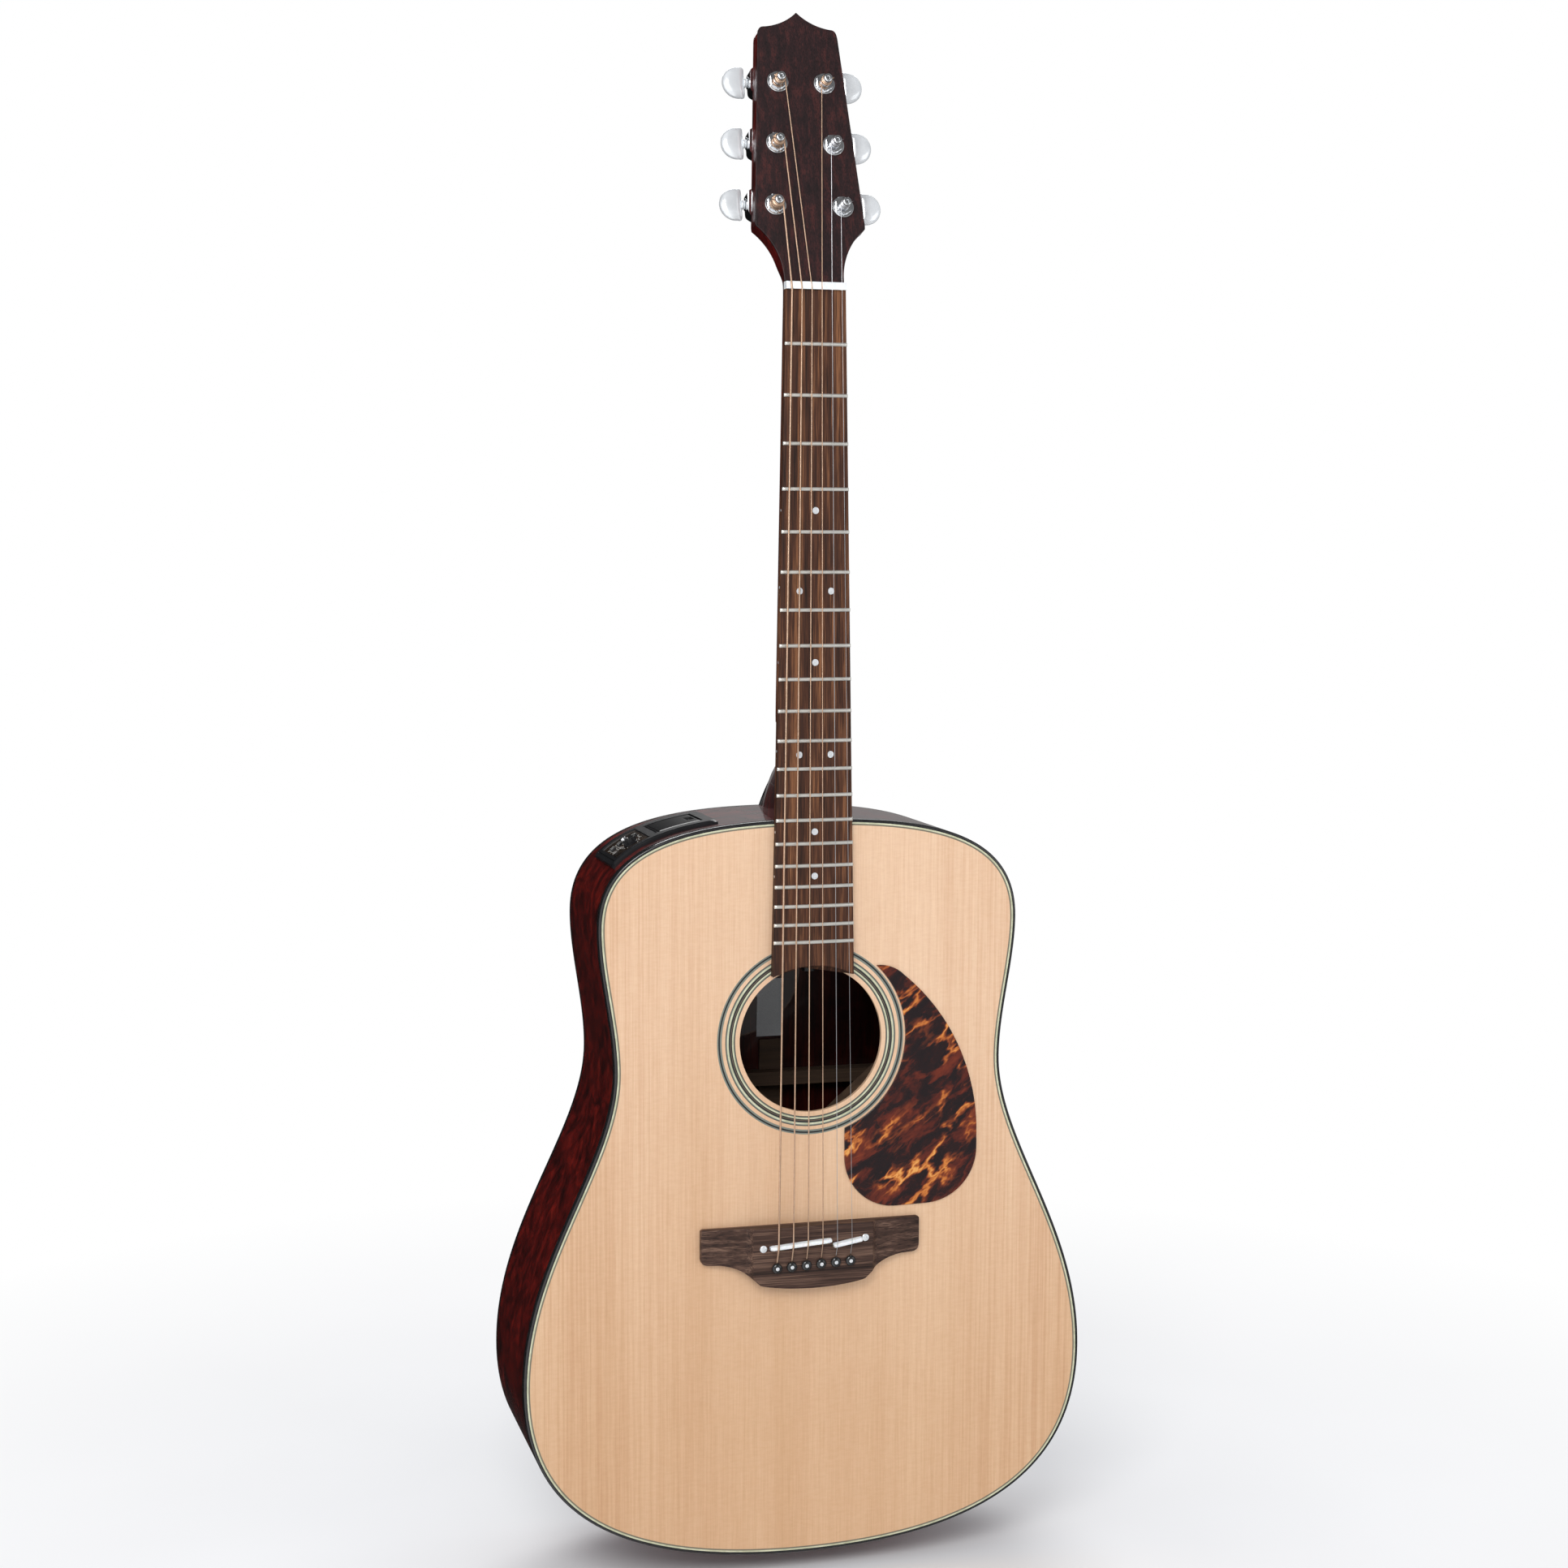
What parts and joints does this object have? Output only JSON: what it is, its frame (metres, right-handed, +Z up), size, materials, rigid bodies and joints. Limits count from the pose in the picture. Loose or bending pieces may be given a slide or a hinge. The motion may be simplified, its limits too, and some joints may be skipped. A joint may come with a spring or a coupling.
{
  "type": "acoustic guitar",
  "caption": "Steel-string dreadnought acoustic guitar with geared tuners, side-mounted preamp with sliders and battery door, pickguard and a jack at the tail.",
  "frame": {"origin": "centre of the output jack's seat on the tail of the body, half way through the body's depth", "axes": "+Z up the neck from the tail, +X to the treble side, +Y from the soundboard to the back"},
  "size_m": [0.404, 0.1436, 1.0803],
  "materials": {
    "spruce_top": "clear gloss lacquer over straight-grained spruce",
    "cream_plastic": "polished",
    "dark_inlay": "polished",
    "black_binding": "polished",
    "mahogany_side": "dark red, gloss lacquer",
    "lining_wood": "raw",
    "block_wood": "raw",
    "brace_spruce": "raw",
    "maple": "raw",
    "paper": "uncoated paper",
    "mahogany_neck": "dark red, gloss lacquer",
    "rosewood_veneer": "satin, fine straight grain",
    "rosewood_board": "oiled",
    "rosewood_bridge": "oiled",
    "fret_wire": "polished nickel silver",
    "white_dot": "polished",
    "bone": "polished",
    "steel": "plated",
    "brass_nut": "machined",
    "black_plastic": "moulded, satin",
    "tortoise": "polished tortoiseshell",
    "bronze_string": "wound phosphor bronze",
    "steel_string": "drawn wire",
    "chrome": "mirror",
    "battery_case": "painted",
    "knob_grey": "moulded",
    "piezo": "braided",
    "cable": "matte"
  },
  "bodies": {
    "root": {"soundboard": "spruce_top", "cream_inlays": "cream_plastic", "dark_inlays": "dark_inlay", "top_binding": "black_binding", "bass_side": "mahogany_side", "treble_side": "mahogany_side", "back": "mahogany_side", "back_binding": "black_binding", "top_lining": "lining_wood", "back_lining": "lining_wood", "neck_block": "block_wood", "tail_block": "block_wood", "soundboard_braces": "brace_spruce", "bridge_plate": "maple", "back_braces": "brace_spruce", "label": "paper", "neck": "mahogany_neck", "heel_cap": "black_plastic", "headstock_veneer": "rosewood_veneer", "fingerboard": "rosewood_board", "frets": "fret_wire", "position_dots": "white_dot", "nut": "bone", "truss_rod": "steel", "bridge": "rosewood_bridge", "saddles": "bone", "white_dots": "white_dot", "bridge_pins": "black_plastic", "pickguard": "tortoise", "wound_strings": "bronze_string", "plain_strings": "steel_string", "tuner_housings": "chrome", "tuner_bushings": "chrome", "tuner_screws": "steel", "preamp_panel": "black_plastic", "preamp_case": "black_plastic", "battery": "battery_case", "saddle_pickup": "piezo", "wiring": "cable", "output_jack": "chrome", "strap_button": "chrome"},
    "post_6": {"tuner_post_6": "chrome"},
    "key_6": {"tuner_key_6": "chrome"},
    "post_5": {"tuner_post_5": "chrome"},
    "key_5": {"tuner_key_5": "chrome"},
    "post_4": {"tuner_post_4": "chrome"},
    "key_4": {"tuner_key_4": "chrome"},
    "post_3": {"tuner_post_3": "chrome"},
    "key_3": {"tuner_key_3": "chrome"},
    "post_2": {"tuner_post_2": "chrome"},
    "key_2": {"tuner_key_2": "chrome"},
    "post_1": {"tuner_post_1": "chrome"},
    "key_1": {"tuner_key_1": "chrome"},
    "bass_slider": {"bass_slider": "knob_grey"},
    "middle_slider": {"middle_slider": "knob_grey"},
    "treble_slider": {"treble_slider": "knob_grey"},
    "volume_knob": {"volume_knob": "knob_grey"},
    "tuner_button": {"tuner_button": "black_plastic"},
    "battery_door": {"battery_door": "black_plastic"},
    "truss_rod_nut": {"truss_rod_nut": "brass_nut"}
  },
  "joints": [
    {"name": "key_6_turn", "type": "hinge", "parent": "root", "child": "key_6", "pos_m": [-0.0487, -0.02572, 0.93612], "axis": [1, 0, 0], "continuous": true},
    {"name": "post_6_turn", "type": "hinge", "parent": "root", "child": "post_6", "pos_m": [-0.0237, -0.04254, 0.93309], "axis": [0, 0.9673, -0.2538], "continuous": true},
    {"name": "key_5_turn", "type": "hinge", "parent": "root", "child": "key_5", "pos_m": [-0.045, -0.0146, 0.97848], "axis": [1, 0, 0], "continuous": true},
    {"name": "post_5_turn", "type": "hinge", "parent": "root", "child": "post_5", "pos_m": [-0.02, -0.03142, 0.97545], "axis": [0, 0.9673, -0.2538], "continuous": true},
    {"name": "key_4_turn", "type": "hinge", "parent": "root", "child": "key_4", "pos_m": [-0.0414, -0.00349, 1.02085], "axis": [1, 0, 0], "continuous": true},
    {"name": "post_4_turn", "type": "hinge", "parent": "root", "child": "post_4", "pos_m": [-0.0164, -0.02031, 1.01782], "axis": [0, 0.9673, -0.2538], "continuous": true},
    {"name": "key_3_turn", "type": "hinge", "parent": "root", "child": "key_3", "pos_m": [0.0414, -0.00349, 1.02085], "axis": [1, 0, 0], "continuous": true},
    {"name": "post_3_turn", "type": "hinge", "parent": "root", "child": "post_3", "pos_m": [0.0164, -0.02031, 1.01782], "axis": [0, 0.9673, -0.2538], "continuous": true},
    {"name": "key_2_turn", "type": "hinge", "parent": "root", "child": "key_2", "pos_m": [0.045, -0.0146, 0.97848], "axis": [1, 0, 0], "continuous": true},
    {"name": "post_2_turn", "type": "hinge", "parent": "root", "child": "post_2", "pos_m": [0.02, -0.03142, 0.97545], "axis": [0, 0.9673, -0.2538], "continuous": true},
    {"name": "key_1_turn", "type": "hinge", "parent": "root", "child": "key_1", "pos_m": [0.0487, -0.02572, 0.93612], "axis": [1, 0, 0], "continuous": true},
    {"name": "post_1_turn", "type": "hinge", "parent": "root", "child": "post_1", "pos_m": [0.0237, -0.04254, 0.93309], "axis": [0, 0.9673, -0.2538], "continuous": true},
    {"name": "bass_slide", "type": "slide", "parent": "root", "child": "bass_slider", "axis": [0, 1, 0], "range_m": [-0.008, 0.008]},
    {"name": "middle_slide", "type": "slide", "parent": "root", "child": "middle_slider", "axis": [0, 1, 0], "range_m": [-0.008, 0.008]},
    {"name": "treble_slide", "type": "slide", "parent": "root", "child": "treble_slider", "axis": [0, 1, 0], "range_m": [-0.008, 0.008]},
    {"name": "volume_turn", "type": "hinge", "parent": "root", "child": "volume_knob", "pos_m": [-0.11975, -0.031, 0.50244], "axis": [-0.4922, 0, 0.8705], "range_deg": [-140, 140]},
    {"name": "tuner_button_press", "type": "slide", "parent": "root", "child": "tuner_button", "axis": [0.4922, 0, -0.8705], "range_m": [0, 0.0008]},
    {"name": "battery_door_hinge", "type": "hinge", "parent": "root", "child": "battery_door", "pos_m": [-0.10225, -0.019, 0.50987], "axis": [0, -1, 0], "range_deg": [0, 100]},
    {"name": "truss_rod_turn", "type": "hinge", "parent": "root", "child": "truss_rod_nut", "pos_m": [0, -0.05621, 0.42103], "axis": [0, 0.0122, 0.9999], "range_deg": [-180, 180]}
  ],
  "couplings": [
    {"joint": "post_6_turn", "follows": "key_6_turn", "ratio": 0.071429},
    {"joint": "post_5_turn", "follows": "key_5_turn", "ratio": 0.071429},
    {"joint": "post_4_turn", "follows": "key_4_turn", "ratio": 0.071429},
    {"joint": "post_3_turn", "follows": "key_3_turn", "ratio": -0.071429},
    {"joint": "post_2_turn", "follows": "key_2_turn", "ratio": -0.071429},
    {"joint": "post_1_turn", "follows": "key_1_turn", "ratio": -0.071429}
  ]
}
